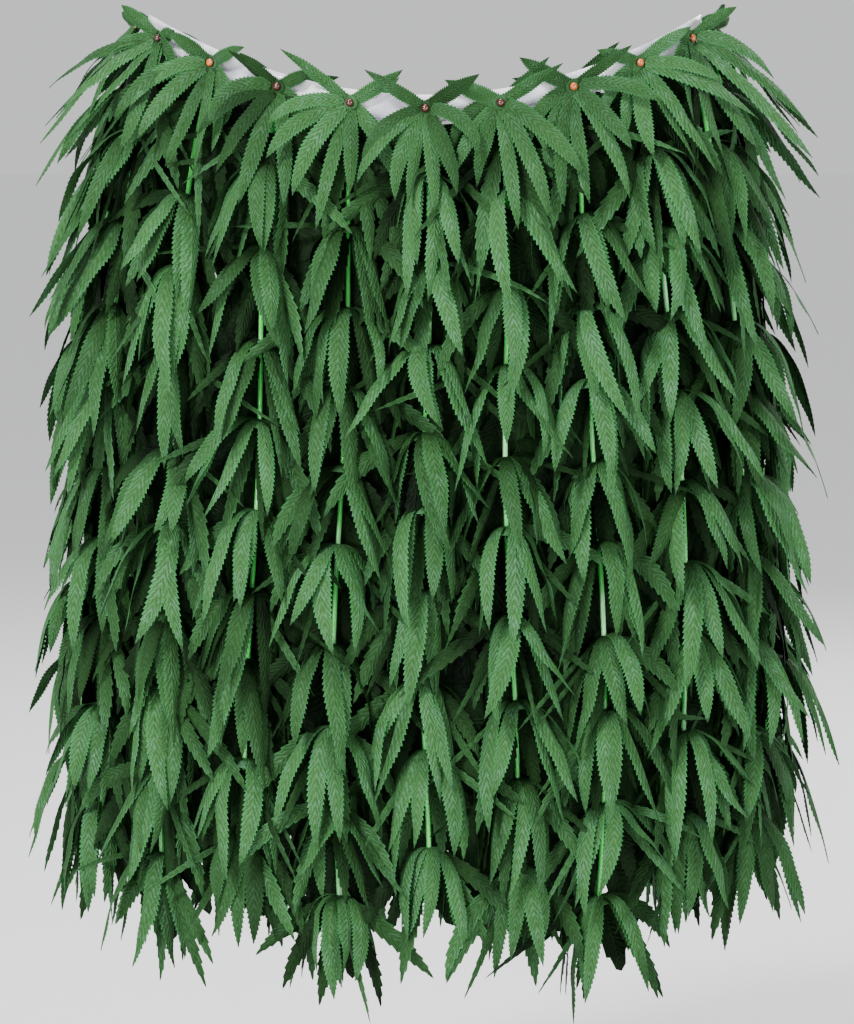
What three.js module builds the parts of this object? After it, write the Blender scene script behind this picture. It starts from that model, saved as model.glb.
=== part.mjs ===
// A leaf hula skirt, worn, with no wearer: twenty garland strands hang from a clear waistband that is riveted
// to them all round and closes over itself at the back. Each strand is a thin plastic stem with whorls of
// narrow pointed leaflets threaded on it, and a star of leaflets at the rivet.
//
// Millimetres, +Z up. The origin is the middle of the waist, level with the band's centre line at the sides.
// The wearer faces -Y. A place on the skirt is given by its turn round the waist from the front, its drop
// below the band's centre line, and how far out it is from the surface that the band lies on.
import * as THREE from "three";

// The figure: an oval waist, with the band lower at the front and back than over the hips.
const WAIST_HALF_WIDTH = 147;
const WAIST_HALF_DEPTH = 93;
const WAIST_DIP = 44;
const HIP_SPREAD = 36; // how much the oval grows on every side, far below the waist
const HIP_RUN = 120; // the drop over which most of that growth comes

// The waistband, a clear strip.
const BAND_HEIGHT = 14;
const BAND_THICKNESS = 1;
const BAND_STEPS = 76;
const SEAM_GAP = 0.3; // between pieces that lie on each other

// The closure: the strip's inner end goes under its outer end, with a hook and a loop patch between them.
const OUTER_END_REACH = 17; // past the middle of the back
const INNER_END_REACH = 22; // past the middle of the back, the other way
const INNER_END_RAMP_FROM = 19; // where the inner end has gone all the way under
const INNER_END_RAMP_TO = 32; // where it is back on the band's own line
const PATCH_THICKNESS = 0.8;
const PATCH_HALF_HEIGHT = 5;
const PATCH_START = -14;
const PATCH_END = 14;

// The strands.
const STRAND_COUNT = 20;
const STEM_RADIUS = 1.5;
const STEM_SIDES = 4; // one each to the front, the wearer's left, the back and the right
const STEM_TAIL = 22; // below the last whorl
const STOP_RADIUS = 2.4; // the clear stop at the stem's end
const STOP_END_RADIUS = 1.5;
const STOP_LENGTH = 10;
const STEM_OUT = BAND_THICKNESS / 2 + SEAM_GAP + STEM_RADIUS;
const STEM_SWAY = 2.5; // sideways, as the stems hang a little unevenly
const STEM_SWAY_LENGTH = 330;

// The whorls on a strand. Neighbouring strands have theirs at different heights, so that leaves overlap like
// shingles: a leaf stands out by its drop below its own root, and no two roots near each other are level.
const WHORL_COUNT = 9;
const FIRST_WHORL_DROP = 32;
const WHORL_PITCH = 43;
const STAGGER_SHARE = 0.4; // of the pitch, from one strand to the next
const LEAF_SPLAYS = [-66, -33, 0, 33, 66]; // degrees from straight down, along the skirt
const LEAF_SPACING = 33;
const LEAF_LENGTH = 54; // in plan, along the skirt
const LEAF_DROOP = 0.35; // share of its splay that a leaflet loses by its tip
const LEAF_HALF_WIDTH = 5;
const LEAF_WIDEST = 0.42; // share of the length where a leaflet is widest
const LEAF_RIDGE = 1.4; // how far the middle rib stands above the leaflet's edges
const LENGTH_VARIATION = 0.1;
const SPLAY_VARIATION = 3;
const HUB_HALF_THICKNESS = 0.8;
const VALLEY_REACH = 5; // from the stem's middle to where two leaflets part
const HUB_BACK_REACH = 3; // behind the stem, towards the wearer

// How leaves stand out from the skirt: steeply at the root, then hanging.
const LIFT_ARCH = 14;
const LIFT_ARCH_RUN = 16;
const LIFT_SLOPE = 0.33;

// The star of leaflets under each rivet. bearing is degrees from straight down, counter-clockwise as seen from
// outside, and length is along the skirt. A leaflet stands out by its lift for each millimetre of its length:
// openLift on a side where the star lies over its neighbour, and underLift where it lies under.
const STAR_LEAFLETS = [
  { bearing: -100, length: 26, openLift: 0.5, underLift: 0.12 },
  { bearing: -66, length: 50, openLift: 0.62, underLift: 0.26 },
  { bearing: -33, length: 54, openLift: 0.44, underLift: 0.42 },
  { bearing: 0, length: 56, openLift: 0.46, underLift: 0.46 },
  { bearing: 33, length: 54, openLift: 0.44, underLift: 0.42 },
  { bearing: 66, length: 50, openLift: 0.62, underLift: 0.26 },
  { bearing: 100, length: 26, openLift: 0.5, underLift: 0.12 },
  { bearing: 148, length: 36, openLift: 0.36, underLift: 0.12 },
  { bearing: 212, length: 36, openLift: 0.36, underLift: 0.12 },
];
const SIDEWAYS_BEARING = 100;
const OPEN_SIDE_GROWTH = 1.6; // how much longer the sideways leaflets are where they lie over
const STAR_LEAF_HALF_WIDTH = 4.8;
const STAR_TILT = 0.12; // how much a star turns out on its open side and in on the other
const MIDDLE_CLEARANCE = 3;
const STAR_HUB_RISE = 2; // its middle, in front of the stem's
const STAR_STEM_DROP = 1.5; // where the stem comes out from behind it

// The rivets, rounded beads.
const RIVET_RADIUS = 2.8;
const RIVET_RIM = 1.7; // above its foot, which is pointed to sit in the star
const RIVET_SHOULDER = 2.3;
const RIVET_HEIGHT = 3.9;
const RIVET_SIDES = 8;

const COLOURS = { leaf: 0x3f7a42, band: 0xe8edf2, bead: 0xb4502a, patch: 0xf2f2ee };

/** Evenly spread numbers from -1 to 1, the same ones each time, for natural unevenness. */
function uneven(...indices) {
  const steps = [0.618034, 0.754878, 0.569840];
  const sum = indices.reduce((total, index, n) => total + (index + 1) * steps[n], 0);
  return 2 * (sum - Math.floor(sum)) - 1;
}

/** The oval's half width and half depth at a drop below the waist. */
function ovalAt(drop) {
  const spread = HIP_SPREAD * (1 - Math.exp(-Math.max(drop, 0) / HIP_RUN));
  return { a: WAIST_HALF_WIDTH + spread, b: WAIST_HALF_DEPTH + spread };
}

/** Millimetres round the oval for each radian of turn. */
function pace(turn, drop) {
  const { a, b } = ovalAt(drop);
  return Math.hypot(a * Math.cos(turn), b * Math.sin(turn));
}

/** The point of the skirt at a turn, a drop and a distance out. */
function skirtPoint(turn, drop, out) {
  const { a, b } = ovalAt(drop);
  const x = a * Math.sin(turn);
  const y = -b * Math.cos(turn);
  const normal = new THREE.Vector2(b * Math.sin(turn), -a * Math.cos(turn)).normalize();
  const z = -WAIST_DIP * Math.cos(turn) ** 2 - drop;
  return new THREE.Vector3(x + normal.x * out, y + normal.y * out, z);
}

/** The turn that lies a given distance round the waist from the front. */
function turnAt(distance) {
  const step = 0.25 * Math.sign(distance || 1);
  let turn = 0;
  let gone = 0;
  while (Math.abs(gone + step) <= Math.abs(distance)) {
    turn += step / pace(turn + (step / pace(turn, 0)) * 0.5, 0);
    gone += step;
  }
  return turn + (distance - gone) / pace(turn, 0);
}

/** Half the way round the waist. */
function halfWaist() {
  const steps = 2000;
  const dTurn = Math.PI / steps;
  let sum = 0;
  for (let i = 0; i < steps; i += 1) sum += pace((i + 0.5) * dTurn, 0) * dTurn;
  return sum;
}

/** A closed geometry from points and triangles of their numbers. */
function meshOf(points, triangles) {
  return new THREE.BufferGeometry()
    .setAttribute("position", new THREE.Float32BufferAttribute(points.flatMap((p) => p.toArray()), 3))
    .setIndex(triangles.flat());
}

/** A closed wall or rod through rings of points, which all go the same way round. */
function loft(rings) {
  const sides = rings[0].length;
  const at = (ring, side) => ring * sides + (side % sides);
  const triangles = [];
  for (let ring = 0; ring + 1 < rings.length; ring += 1) {
    for (let side = 0; side < sides; side += 1) {
      triangles.push([at(ring, side), at(ring, side + 1), at(ring + 1, side + 1)]);
      triangles.push([at(ring, side), at(ring + 1, side + 1), at(ring + 1, side)]);
    }
  }
  for (let side = 1; side + 1 < sides; side += 1) {
    triangles.push([at(0, 0), at(0, side + 1), at(0, side)]);
    triangles.push([at(rings.length - 1, 0), at(rings.length - 1, side), at(rings.length - 1, side + 1)]);
  }
  return meshOf(rings.flat(), triangles);
}

/** A strip that stands on edge round the waist; outAt gives how far out its middle is at a distance round. */
function strip({ from, to, steps, halfHeight, thickness, outAt }) {
  const rings = [];
  for (let i = 0; i <= steps; i += 1) {
    const distance = from + ((to - from) * i) / steps;
    const turn = turnAt(distance);
    const inner = outAt(distance) - thickness / 2;
    const outer = outAt(distance) + thickness / 2;
    // The band's walls stand straight, so its oval is the waist's own at every height.
    const corner = (up, out) => skirtPoint(turn, 0, out).add(new THREE.Vector3(0, 0, up));
    rings.push([
      corner(-halfHeight, inner),
      corner(halfHeight, inner),
      corner(halfHeight, outer),
      corner(-halfHeight, outer),
    ]);
  }
  return loft(rings);
}

const HALF_WAIST = halfWaist();
const STRAND_SPACING = (2 * HALF_WAIST) / STRAND_COUNT;
const PATCH_STEP_OUT = PATCH_THICKNESS + SEAM_GAP;
const HOOK_OUT = -BAND_THICKNESS / 2 - SEAM_GAP - PATCH_THICKNESS / 2;
const LOOP_OUT = HOOK_OUT - PATCH_STEP_OUT;
const INNER_END_OUT = LOOP_OUT - PATCH_THICKNESS / 2 - SEAM_GAP - BAND_THICKNESS / 2;

/** How far out the band runs, at a distance round from the front: its inner end goes under. */
function bandOut(distance) {
  const fromBack = distance + HALF_WAIST;
  return INNER_END_OUT * (1 - THREE.MathUtils.smoothstep(fromBack, INNER_END_RAMP_FROM, INNER_END_RAMP_TO));
}

function waistband() {
  return strip({
    from: -HALF_WAIST - INNER_END_REACH,
    to: HALF_WAIST + OUTER_END_REACH,
    steps: BAND_STEPS,
    halfHeight: BAND_HEIGHT / 2,
    thickness: BAND_THICKNESS,
    outAt: bandOut,
  });
}

function closurePatch(out) {
  return strip({
    from: HALF_WAIST + PATCH_START,
    to: HALF_WAIST + PATCH_END,
    steps: 4,
    halfHeight: PATCH_HALF_HEIGHT,
    thickness: PATCH_THICKNESS,
    outAt: () => out,
  });
}

/** How far out a leaf is, by its drop below its own root. */
function leafOut(drop) {
  return STEM_OUT + LIFT_SLOPE * drop + LIFT_ARCH * (1 - Math.exp(-drop / LIFT_ARCH_RUN));
}

/** Where a strand's stem is, as distance round from the front at the waist's pace, for each drop. */
function stemTurn(strand, drop) {
  const rest = turnAt(STRAND_SPACING * strand.place);
  const phase = (2 * Math.PI * drop) / STEM_SWAY_LENGTH;
  const sway = STEM_SWAY * (Math.sin(phase + strand.place) - Math.sin(strand.place));
  return rest + sway / pace(rest, drop);
}

/** A leaflet's plan along the skirt: side and drop at a share of its length, and which way it points there. */
function leafletPlan({ bearing, length, droop }) {
  const steps = 6;
  return (share) => {
    let side = 0;
    let drop = 0;
    for (let i = 0; i < steps; i += 1) {
      const angle = THREE.MathUtils.degToRad(bearing * (1 - (droop * share * (i + 0.5)) / steps));
      side += (Math.sin(angle) * length * share) / steps;
      drop += (Math.cos(angle) * length * share) / steps;
    }
    const end = THREE.MathUtils.degToRad(bearing * (1 - droop * share));
    return { side, drop, angle: end };
  };
}

/** The points and triangles of one closed surface, as it is put together. */
class Surface {
  points = [];
  triangles = [];

  /** Adds a point and gives its number. */
  put(point) {
    this.points.push(point);
    return this.points.length - 1;
  }

  /** Adds triangles of points' numbers, each counter-clockwise as seen from outside. */
  join(...triangles) {
    this.triangles.push(...triangles);
  }

  /** The wall of a rod between two rings of points, which are counter-clockwise as seen from above. */
  sleeve(upper, lower) {
    upper.forEach((point, side) => {
      const next = (side + 1) % upper.length;
      this.join([lower[side], lower[next], upper[next]], [lower[side], upper[next], point]);
    });
  }

  /** The flat end below a ring of four. */
  capBelow([first, second, third, fourth]) {
    this.join([first, third, second], [first, fourth, third]);
  }
}

/** Puts in a ring round a stem, from its front round by the wearer's left. */
function putRing(surface, strand, drop, radius) {
  const ring = [];
  for (let side = 0; side < STEM_SIDES; side += 1) {
    const angle = (2 * Math.PI * side) / STEM_SIDES;
    const turn = stemTurn(strand, drop);
    const across = (radius * Math.sin(angle)) / pace(turn, drop);
    ring.push(surface.put(skirtPoint(turn + across, drop, STEM_OUT + radius * Math.cos(angle))));
  }
  return ring;
}

/**
 * Puts in one flat-cut piece of leaflets, with thin edges and a raised rib down each leaflet. hub.front(i) and
 * hub.rear(i) are the points at its middle that leaflet i starts from, and outOf(side, drop, leaflet) says how
 * far out a place on it is. Gives the numbers of the valleys before each leaflet and after the last.
 */
function putLeaflets({ surface, strand, rootDrop, leaflets, round, hub, outOf }) {
  const rootTurn = stemTurn(strand, rootDrop);
  const put = (side, drop, out) => {
    const turn = rootTurn + side / pace(rootTurn, rootDrop + drop);
    return surface.put(skirtPoint(turn, rootDrop + drop, out));
  };

  // A valley is on the straight line from the stem's middle to where the leaflets are widest.
  const valleyBetween = (before, after, leaflet) => {
    const angle = THREE.MathUtils.degToRad((before + after) / 2);
    const widest = leaflet.length * LEAF_WIDEST;
    const outThere = outOf(Math.sin(angle) * widest, Math.cos(angle) * widest, leaflet);
    const out = STEM_OUT + ((outThere - STEM_OUT) * VALLEY_REACH) / widest;
    return put(Math.sin(angle) * VALLEY_REACH, Math.cos(angle) * VALLEY_REACH, out);
  };
  const first = leaflets[0];
  const last = leaflets[leaflets.length - 1];
  const beforeFirst = round ? last.bearing - 360 : first.bearing - LEAF_SPACING;
  const valleys = leaflets.map((leaflet, i) => {
    const before = i === 0 ? beforeFirst : leaflets[i - 1].bearing;
    return valleyBetween(before, leaflet.bearing, leaflet);
  });
  valleys.push(round ? valleys[0] : valleyBetween(last.bearing, last.bearing + LEAF_SPACING, last));

  leaflets.forEach((leaflet, i) => {
    const plan = leafletPlan(leaflet);
    const middle = plan(LEAF_WIDEST);
    const end = plan(1);
    const across = (half) => {
      const side = middle.side + Math.cos(middle.angle) * half;
      const drop = middle.drop - Math.sin(middle.angle) * half;
      return put(side, drop, outOf(side, drop, leaflet));
    };
    const before = valleys[i];
    const after = valleys[i + 1];
    const left = across(-leaflet.halfWidth);
    const right = across(leaflet.halfWidth);
    const rib = put(middle.side, middle.drop, outOf(middle.side, middle.drop, leaflet) + LEAF_RIDGE);
    const tip = put(end.side, end.drop, outOf(end.side, end.drop, leaflet));
    surface.join([rib, hub.front(i), before], [rib, before, left], [rib, left, tip]);
    surface.join([rib, tip, right], [rib, right, after], [rib, after, hub.front(i)]);
    surface.join([left, right, tip], [before, right, left], [before, after, right]);
    surface.join([hub.rear(i), after, before]);
  });
  return valleys;
}

/** Which of a stem ring's points a leaflet starts from. */
function ringSide(leaflet) {
  return (Math.round(leaflet.bearing / 90) + STEM_SIDES) % STEM_SIDES;
}

/** Fills in between two of a ring's points and the point outside them, on the front or the rear. */
function turnRing(surface, ring, from, to, outside, isFront) {
  for (let side = from; side !== to; side = (side + 1) % STEM_SIDES) {
    const next = ring[(side + 1) % STEM_SIDES];
    surface.join(isFront ? [outside, next, ring[side]] : [outside, ring[side], next]);
  }
}

/**
 * Whether a star lies over its neighbour on the side that a leaflet points to. From the middle of the front,
 * which is open both ways, each star lies over the next one towards the back.
 */
function isOpenSide(strand, bearing) {
  if (strand.place === 0) return true;
  if (strand.place === STRAND_COUNT / 2) return false;
  return Math.sin(THREE.MathUtils.degToRad(bearing)) * strand.place > 0;
}

/** The length of a star's leaflet. Beside the front and back middles it stops short of the middle strand. */
function starLeafletLength(strand, { bearing, length }, open, variation) {
  const growth = open && Math.abs(bearing) === SIDEWAYS_BEARING ? OPEN_SIDE_GROWTH : 1;
  const wanted = length * growth * (1 + variation);
  const facesMiddle = Math.abs(strand.place) === (open ? STRAND_COUNT / 2 - 1 : 1);
  const sideways = Math.abs(Math.sin(THREE.MathUtils.degToRad(bearing)));
  return facesMiddle ? Math.min(wanted, (STRAND_SPACING - MIDDLE_CLEARANCE) / sideways) : wanted;
}

/** Puts in the star under the rivet, and gives the ring behind it where the stem goes on. */
function putStar(surface, strand) {
  const leaflets = STAR_LEAFLETS.map((leaflet, i) => {
    const open = isOpenSide(strand, leaflet.bearing);
    return {
      bearing: leaflet.bearing,
      length: starLeafletLength(strand, leaflet, open, LENGTH_VARIATION * uneven(strand.number, i)),
      lift: open ? leaflet.openLift : leaflet.underLift,
      tilt: open ? STAR_TILT : -STAR_TILT,
      droop: 0,
      halfWidth: STAR_LEAF_HALF_WIDTH,
    };
  });
  const outOf = (side, drop, { lift, tilt }) => {
    return STEM_OUT + lift * Math.hypot(side, drop) + tilt * Math.abs(side);
  };
  const middle = surface.put(skirtPoint(stemTurn(strand, 0), 0, STEM_OUT + STAR_HUB_RISE));
  const ring = putRing(surface, strand, STAR_STEM_DROP, STEM_RADIUS);
  const sides = leaflets.map(ringSide);
  const hub = { front: () => middle, rear: (i) => ring[sides[i]] };
  const valleys = putLeaflets({ surface, strand, rootDrop: 0, leaflets, round: true, hub, outOf });
  sides.forEach((side, i) => {
    const next = (i + 1) % sides.length;
    turnRing(surface, ring, side, sides[next], valleys[i + 1], false);
  });
  return ring;
}

/** Puts in a whorl that the stem goes through, and gives the rings above and below it. */
function putWhorl(surface, strand, number) {
  const rootDrop = whorlDrop(strand, number);
  const leaflets = LEAF_SPLAYS.map((splay, i) => ({
    bearing: splay + SPLAY_VARIATION * uneven(strand.number, number, i),
    length: LEAF_LENGTH * (1 + LENGTH_VARIATION * uneven(number, i, strand.number)),
    droop: LEAF_DROOP,
    halfWidth: LEAF_HALF_WIDTH,
  }));
  const above = putRing(surface, strand, rootDrop - HUB_HALF_THICKNESS, STEM_RADIUS);
  const below = putRing(surface, strand, rootDrop + HUB_HALF_THICKNESS, STEM_RADIUS);
  const sides = leaflets.map(ringSide);
  const hub = { front: (i) => above[sides[i]], rear: (i) => below[sides[i]] };
  const outOf = (side, drop) => leafOut(drop);
  const valleys = putLeaflets({ surface, strand, rootDrop, leaflets, round: false, hub, outOf });
  const back = surface.put(skirtPoint(stemTurn(strand, rootDrop), rootDrop, STEM_OUT - HUB_BACK_REACH));
  const left = valleys[0];
  const right = valleys[valleys.length - 1];
  const firstSide = sides[0];
  const lastSide = sides[sides.length - 1];
  for (let i = 0; i + 1 < sides.length; i += 1) {
    turnRing(surface, above, sides[i], sides[i + 1], valleys[i + 1], true);
    turnRing(surface, below, sides[i], sides[i + 1], valleys[i + 1], false);
  }
  turnRing(surface, above, lastSide, firstSide, back, true);
  turnRing(surface, below, lastSide, firstSide, back, false);
  surface.join([right, back, above[lastSide]], [back, left, above[firstSide]]);
  surface.join([back, right, below[lastSide]], [left, back, below[firstSide]]);
  return { above, below };
}

/** The drop of a whorl's root. */
function whorlDrop(strand, number) {
  const stagger = (STAGGER_SHARE * strand.number) % 1;
  return FIRST_WHORL_DROP + WHORL_PITCH * (number + stagger);
}

/** A whole strand: the star at its top, its stem with the whorls on it, and its stop, in one piece. */
function strandGeometry(strand) {
  const surface = new Surface();
  let hanging = putStar(surface, strand);
  for (let number = 0; number < WHORL_COUNT; number += 1) {
    const { above, below } = putWhorl(surface, strand, number);
    surface.sleeve(hanging, above);
    hanging = below;
  }
  const end = whorlDrop(strand, WHORL_COUNT - 1) + STEM_TAIL;
  const stop = [
    putRing(surface, strand, end - STOP_LENGTH, STEM_RADIUS),
    putRing(surface, strand, end - STOP_LENGTH / 2, STOP_RADIUS),
    putRing(surface, strand, end, STOP_END_RADIUS),
  ];
  for (const ring of stop) {
    surface.sleeve(hanging, ring);
    hanging = ring;
  }
  surface.capBelow(hanging);
  return meshOf(surface.points, surface.triangles);
}

/** A rivet's bead, standing along +Z from its foot, which is a point. */
function bead() {
  const outline = [
    [0, 0],
    [RIVET_RADIUS, RIVET_RIM],
    [RIVET_SHOULDER, RIVET_RIM + (RIVET_HEIGHT - RIVET_RIM) * 0.7],
    [0, RIVET_HEIGHT],
  ];
  const geometry = new THREE.LatheGeometry(outline.map(([r, h]) => new THREE.Vector2(r, h)), RIVET_SIDES);
  return geometry.rotateX(Math.PI / 2);
}

function material(colour, roughness, options = {}) {
  return new THREE.MeshStandardMaterial({ color: colour, roughness, metalness: 0, ...options });
}

function named(name, geometry, finish) {
  const mesh = new THREE.Mesh(geometry, finish);
  mesh.name = name;
  return mesh;
}

const leafCloth = material(COLOURS.leaf, 0.75);
const clearStrip = material(COLOURS.band, 0.2, { transparent: true, opacity: 0.6 });
const amberBead = material(COLOURS.bead, 0.15);
const whitePatch = material(COLOURS.patch, 0.9);

const skirt = new THREE.Group();
skirt.add(named("waistband", waistband(), clearStrip));
skirt.add(named("closure_hook_patch", closurePatch(HOOK_OUT), whitePatch));
skirt.add(named("closure_loop_patch", closurePatch(LOOP_OUT), whitePatch));

for (let number = 0; number < STRAND_COUNT; number += 1) {
  // place 0 is the middle of the front; places go round to the wearer's left, and then from the right.
  const place = number <= STRAND_COUNT / 2 ? number : number - STRAND_COUNT;
  const strand = { number, place };
  const label = String(number + 1).padStart(2, "0");
  skirt.add(named(`strand_${label}`, strandGeometry(strand), leafCloth));

  const turn = stemTurn(strand, 0);
  const foot = skirtPoint(turn, 0, STEM_OUT + STAR_HUB_RISE + SEAM_GAP);
  const outward = skirtPoint(turn, 0, 1).sub(skirtPoint(turn, 0, 0)).normalize();
  const rivet = named(`rivet_${label}`, bead(), amberBead);
  rivet.position.copy(foot);
  rivet.quaternion.setFromUnitVectors(new THREE.Vector3(0, 0, 1), outward);
  skirt.add(rivet);
}

export default skirt;
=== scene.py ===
"""A leaf hula skirt in its worn shape, with no wearer.

Twenty strands hang from a clear waistband that is riveted to them all round. A strand is a thin plastic
stem with whorls of serrated cloth leaflets threaded on it, and a star of leaflets under its rivet.

Lengths are in metres. +Z is up, the wearer faces -Y, and the origin is the middle of the waist. A place on
the skirt is given by its turn round the waist from the front, its drop below the waistband's centre line
and how far out it is from the surface that the waistband lies on.
"""

from __future__ import annotations

import logging
import math
from dataclasses import dataclass, field
from enum import Enum
from typing import Any, Callable

import bmesh
import bpy
import numpy as np
from mathutils import Matrix, Vector

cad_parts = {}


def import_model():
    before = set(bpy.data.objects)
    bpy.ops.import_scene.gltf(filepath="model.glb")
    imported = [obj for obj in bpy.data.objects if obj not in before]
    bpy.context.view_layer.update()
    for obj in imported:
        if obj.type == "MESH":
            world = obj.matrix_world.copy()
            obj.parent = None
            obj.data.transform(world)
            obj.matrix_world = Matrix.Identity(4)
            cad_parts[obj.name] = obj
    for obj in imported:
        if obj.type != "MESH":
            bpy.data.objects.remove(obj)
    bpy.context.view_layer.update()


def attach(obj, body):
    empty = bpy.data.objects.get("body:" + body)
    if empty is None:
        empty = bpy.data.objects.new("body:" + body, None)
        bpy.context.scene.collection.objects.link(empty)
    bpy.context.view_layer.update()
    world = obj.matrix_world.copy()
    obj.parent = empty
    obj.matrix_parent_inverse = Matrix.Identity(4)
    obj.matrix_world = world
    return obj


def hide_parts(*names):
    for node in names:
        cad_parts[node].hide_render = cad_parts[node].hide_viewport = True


LOG = logging.getLogger("hula_skirt")
ROOT = "root"
UV_NAME = "cut"
# Each leaflet vertex carries one value for its random tone and its painted shade. Leaflets that lie deep
# against the figure are painted darker, standing for shadow.
TONE_AND_SHADE_NAME = "tone_and_shade"
MM = 0.001
TOUCHING = 1e-6
SLIVER = 1e-7
LEVEL = 1e-9

Colour = tuple[float, float, float]
Triple = tuple[float, float, float]
Pair = tuple[np.ndarray, np.ndarray]


class Role(Enum):
    """What a leaflet is to the skirt, which settles how finely it is cut."""

    STAR = "star"
    SHOWN = "shown"
    BEHIND = "behind"
    LINING = "lining"


@dataclass(frozen=True)
class Span:
    """The range that an uneven measure is drawn from."""

    low: float
    high: float

    def draw(self, rng: np.random.Generator) -> float:
        """One measure from the range."""
        return rng.uniform(self.low, self.high)


# ---------------------------------------------------------------------------------------------------
# The figure and the strands
# ---------------------------------------------------------------------------------------------------


@dataclass(frozen=True)
class Figure:
    """The oval that the skirt is worn on, which widens from the waist to the hips."""

    half_width: float = 147 * MM
    half_depth: float = 93 * MM
    dip: float = 44 * MM
    spread: float = 36 * MM
    run: float = 120 * MM
    table_reach: float = 1.3 * math.pi
    table_rows: int = 8001

    def oval(self, drop: np.ndarray | float) -> Pair:
        """The oval's half width and half depth.

        Args:
            drop: how far below the waistband's centre line.

        Returns:
            The half width and the half depth there.
        """
        grown = self.spread * (1 - np.exp(-np.maximum(drop, 0) / self.run))
        return self.half_width + grown, self.half_depth + grown

    def pace(self, turn: np.ndarray | float, drop: np.ndarray | float) -> np.ndarray:
        """Metres round the oval for each radian of turn.

        Args:
            turn: the turn from the front, in radians.
            drop: how far below the waistband's centre line.

        Returns:
            The pace there.
        """
        a, b = self.oval(drop)
        return np.hypot(a * np.cos(turn), b * np.sin(turn))

    def point(self, turn: np.ndarray, drop: np.ndarray, out: np.ndarray) -> np.ndarray:
        """Points of the skirt.

        Args:
            turn: each point's turn from the front, in radians.
            drop: how far each is below the waistband's centre line.
            out: how far out each is.

        Returns:
            The points, one to a row.
        """
        a, b = self.oval(drop)
        sine, cosine = np.sin(turn), np.cos(turn)
        steepness = np.hypot(b * sine, a * cosine)
        x = a * sine + out * b * sine / steepness
        y = -b * cosine - out * a * cosine / steepness
        z = -self.dip * cosine**2 - drop
        return np.stack(np.broadcast_arrays(x, y, z), axis=-1)

    def level_point(self, turn: np.ndarray, up: np.ndarray, out: np.ndarray) -> np.ndarray:
        """Points of the waistband, whose walls stand straight.

        Args:
            turn: each point's turn from the front, in radians.
            up: how far each is above the waistband's centre line.
            out: how far out each is.

        Returns:
            The points, one to a row.
        """
        points = self.point(turn, np.zeros_like(turn), out)
        points[:, 2] += up
        return points

    def around(self) -> Pair:
        """A table of turns and of the distances round the waist that they are at.

        Returns:
            The turns, and the distance from the front of each.
        """
        turns = np.linspace(-self.table_reach, self.table_reach, self.table_rows)
        steps = self.pace((turns[1:] + turns[:-1]) / 2, 0.0) * np.diff(turns)
        distances = np.concatenate([[0.0], np.cumsum(steps)])
        return turns, distances - np.interp(0.0, turns, distances)

    def turn_at(self, distance: np.ndarray | float) -> np.ndarray:
        """The turn at a distance round the waist from the front.

        Args:
            distance: the distance, positive towards the wearer's left.

        Returns:
            The turn there, in radians.
        """
        turns, distances = self.around()
        return np.interp(distance, distances, turns)

    def half_waist(self) -> float:
        """Half the way round the waist."""
        turns, distances = self.around()
        return float(np.interp(math.pi, turns, distances))


@dataclass(frozen=True)
class Strand:
    """Where one strand hangs and where its whorls are."""

    figure: Figure
    number: int
    count: int = 20
    whorls: int = 9
    first_whorl: float = 32 * MM
    pitch: float = 43 * MM
    stagger: float = 0.4
    sway: float = 2.5 * MM
    sway_length: float = 330 * MM
    stem_out: float = 2.3 * MM
    stem_tail: float = 22 * MM

    @property
    def label(self) -> str:
        """The strand's number as its nodes have it."""
        return f"{self.number + 1:02d}"

    @property
    def place(self) -> int:
        """How many strands it is from the middle of the front, towards the wearer's left."""
        return self.number if self.number <= self.count // 2 else self.number - self.count

    @property
    def spacing(self) -> float:
        """The way round the waist from one strand to the next."""
        return 2 * self.figure.half_waist() / self.count

    @property
    def sideways(self) -> float:
        """How far it faces sideways, from 0 at the front and the back to 1."""
        return abs(math.sin(self.rest_turn()))

    def rest_turn(self) -> float:
        """The turn of the strand's rivet."""
        return float(self.figure.turn_at(self.spacing * self.place))

    def turn(self, drop: np.ndarray | float) -> np.ndarray:
        """The stem's turn, as it hangs a little unevenly.

        Args:
            drop: how far below the waistband's centre line.

        Returns:
            The turn there, in radians.
        """
        rest = self.rest_turn()
        phase = 2 * math.pi * np.asarray(drop) / self.sway_length
        sway = self.sway * (np.sin(phase + self.place) - math.sin(self.place))
        return rest + sway / self.figure.pace(rest, drop)

    def whorl_drop(self, number: int) -> float:
        """The drop of a whorl's root.

        Args:
            number: which whorl, from the top.

        Returns:
            Its drop.
        """
        return self.first_whorl + self.pitch * (number + (self.stagger * self.number) % 1)

    def end_drop(self) -> float:
        """The drop of the stem's end."""
        return self.whorl_drop(self.whorls - 1) + self.stem_tail

    def lay(self, root_drop: float, side: np.ndarray, drop: np.ndarray, out: np.ndarray) -> np.ndarray:
        """Points laid on the skirt beside the stem.

        Args:
            root_drop: the drop of the place on the stem that the rest is measured from.
            side: how far each point is to the wearer's left of it.
            drop: how far each is below it.
            out: how far out each is.

        Returns:
            The points, one to a row.
        """
        root = self.turn(root_drop)
        turn = root + side / self.figure.pace(root, root_drop + drop)
        return self.figure.point(turn, root_drop + drop, out)

    def is_open(self, bearing: float) -> bool:
        """Whether the star lies over its neighbour on the side that a leaflet points to.

        Args:
            bearing: the leaflet's, in degrees from straight down.

        Returns:
            True where it lies over, and False where it lies under.
        """
        if self.place == 0:
            return True
        if self.place == self.count // 2:
            return False
        return math.sin(math.radians(bearing)) * self.place > 0


# ---------------------------------------------------------------------------------------------------
# Blanks: small shapes that are cut once and laid many times
# ---------------------------------------------------------------------------------------------------


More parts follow.
